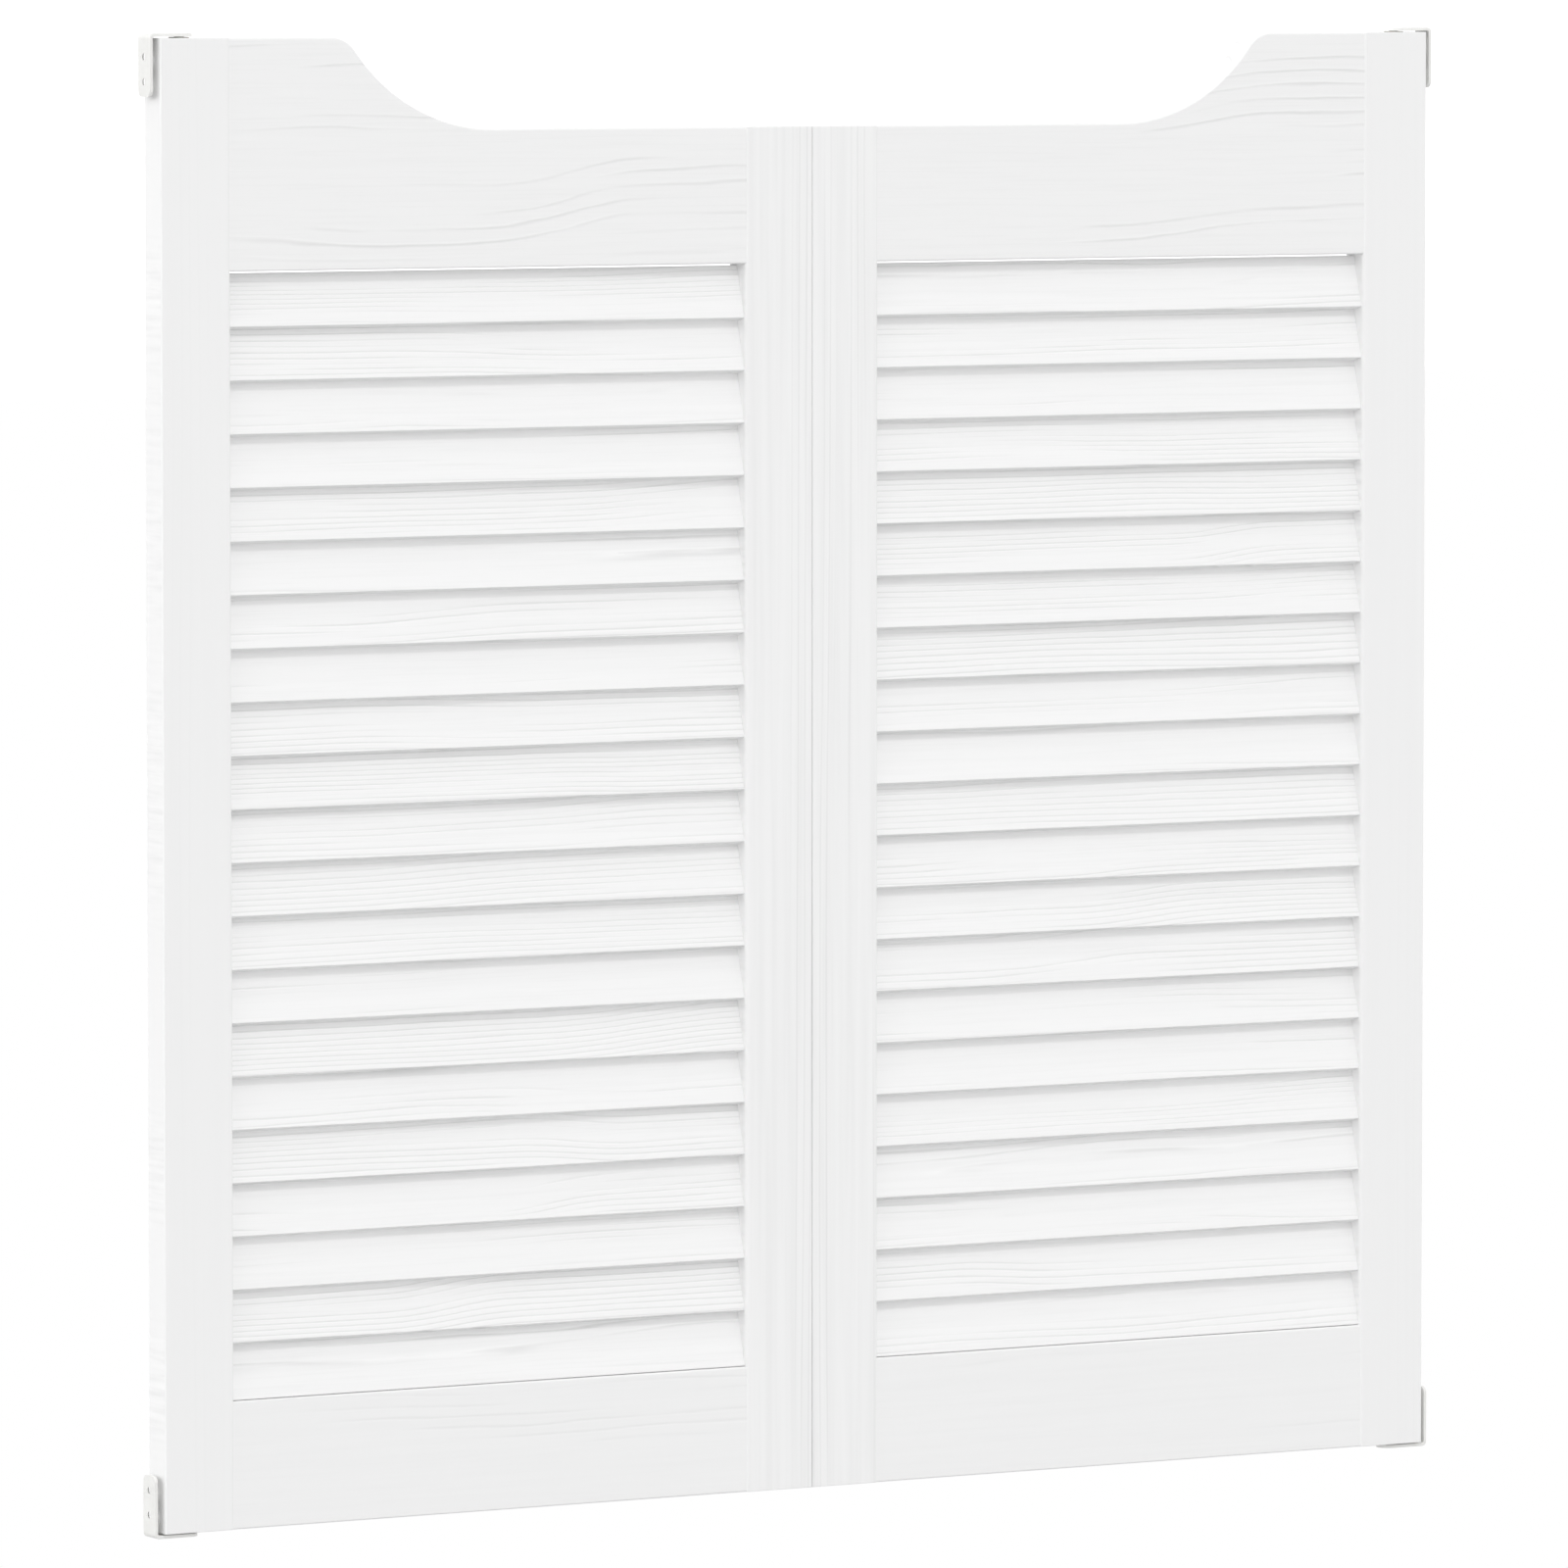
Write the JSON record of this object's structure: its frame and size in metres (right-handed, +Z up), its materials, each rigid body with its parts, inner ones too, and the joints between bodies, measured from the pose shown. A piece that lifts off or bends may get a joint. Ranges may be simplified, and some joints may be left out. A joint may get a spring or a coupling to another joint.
{
  "type": "cafe swinging doors",
  "caption": "Pair of white louvred cafe swinging doors with a scooped top edge; each leaf swings both ways on sprung pivots and returns to the middle.",
  "frame": {"origin": "bottom centre of the pair with its brackets, in the middle of the leaves' thickness", "axes": "+X to the right along the closed leaves, +Y away from the viewer who sees the lower front edges of the slats, +Z up"},
  "size_m": [0.911, 0.022, 0.9056],
  "materials": {
    "painted_pine": "satin white paint over planed pine, grain showing through",
    "powder_coated_steel": "white powder coat, fine satin",
    "zinc_plated_steel": "bright zinc plate",
    "spring_steel": "oiled drawn wire",
    "nylon": "natural moulded nylon"
  },
  "bodies": {
    "jamb_hardware": {"left_lower_jamb_bracket": "powder_coated_steel", "left_upper_jamb_bracket": "powder_coated_steel", "left_torsion_spring": "spring_steel", "right_lower_jamb_bracket": "powder_coated_steel", "right_upper_jamb_bracket": "powder_coated_steel", "right_torsion_spring": "spring_steel"},
    "left_leaf": {"left_hinge_stile": "painted_pine", "left_meeting_stile": "painted_pine", "left_top_rail": "painted_pine", "left_bottom_rail": "painted_pine", "left_slat_01": "painted_pine", "left_slat_02": "painted_pine", "left_slat_03": "painted_pine", "left_slat_04": "painted_pine", "left_slat_05": "painted_pine", "left_slat_06": "painted_pine", "left_slat_07": "painted_pine", "left_slat_08": "painted_pine", "left_slat_09": "painted_pine", "left_slat_10": "painted_pine", "left_slat_11": "painted_pine", "left_slat_12": "painted_pine", "left_slat_13": "painted_pine", "left_slat_14": "painted_pine", "left_slat_15": "painted_pine", "left_slat_16": "painted_pine", "left_slat_17": "painted_pine", "left_slat_18": "painted_pine", "left_slat_19": "painted_pine", "left_slat_20": "painted_pine", "left_slat_21": "painted_pine", "left_spring_tube": "zinc_plated_steel", "left_upper_bush": "nylon"},
    "right_leaf": {"right_hinge_stile": "painted_pine", "right_meeting_stile": "painted_pine", "right_top_rail": "painted_pine", "right_bottom_rail": "painted_pine", "right_slat_01": "painted_pine", "right_slat_02": "painted_pine", "right_slat_03": "painted_pine", "right_slat_04": "painted_pine", "right_slat_05": "painted_pine", "right_slat_06": "painted_pine", "right_slat_07": "painted_pine", "right_slat_08": "painted_pine", "right_slat_09": "painted_pine", "right_slat_10": "painted_pine", "right_slat_11": "painted_pine", "right_slat_12": "painted_pine", "right_slat_13": "painted_pine", "right_slat_14": "painted_pine", "right_slat_15": "painted_pine", "right_slat_16": "painted_pine", "right_slat_17": "painted_pine", "right_slat_18": "painted_pine", "right_slat_19": "painted_pine", "right_slat_20": "painted_pine", "right_slat_21": "painted_pine", "right_spring_tube": "zinc_plated_steel", "right_upper_bush": "nylon"}
  },
  "joints": [
    {"name": "left_leaf_swing", "type": "hinge", "parent": "jamb_hardware", "child": "left_leaf", "pos_m": [-0.432, 0, 0.4528], "axis": [0, 0, 1], "range_deg": [-90, 90], "stiffness_Nm_per_rad": 3, "deforming": ["left_torsion_spring"]},
    {"name": "right_leaf_swing", "type": "hinge", "parent": "jamb_hardware", "child": "right_leaf", "pos_m": [0.432, 0, 0.4528], "axis": [0, 0, 1], "range_deg": [-90, 90], "stiffness_Nm_per_rad": 3, "deforming": ["right_torsion_spring"]}
  ]
}
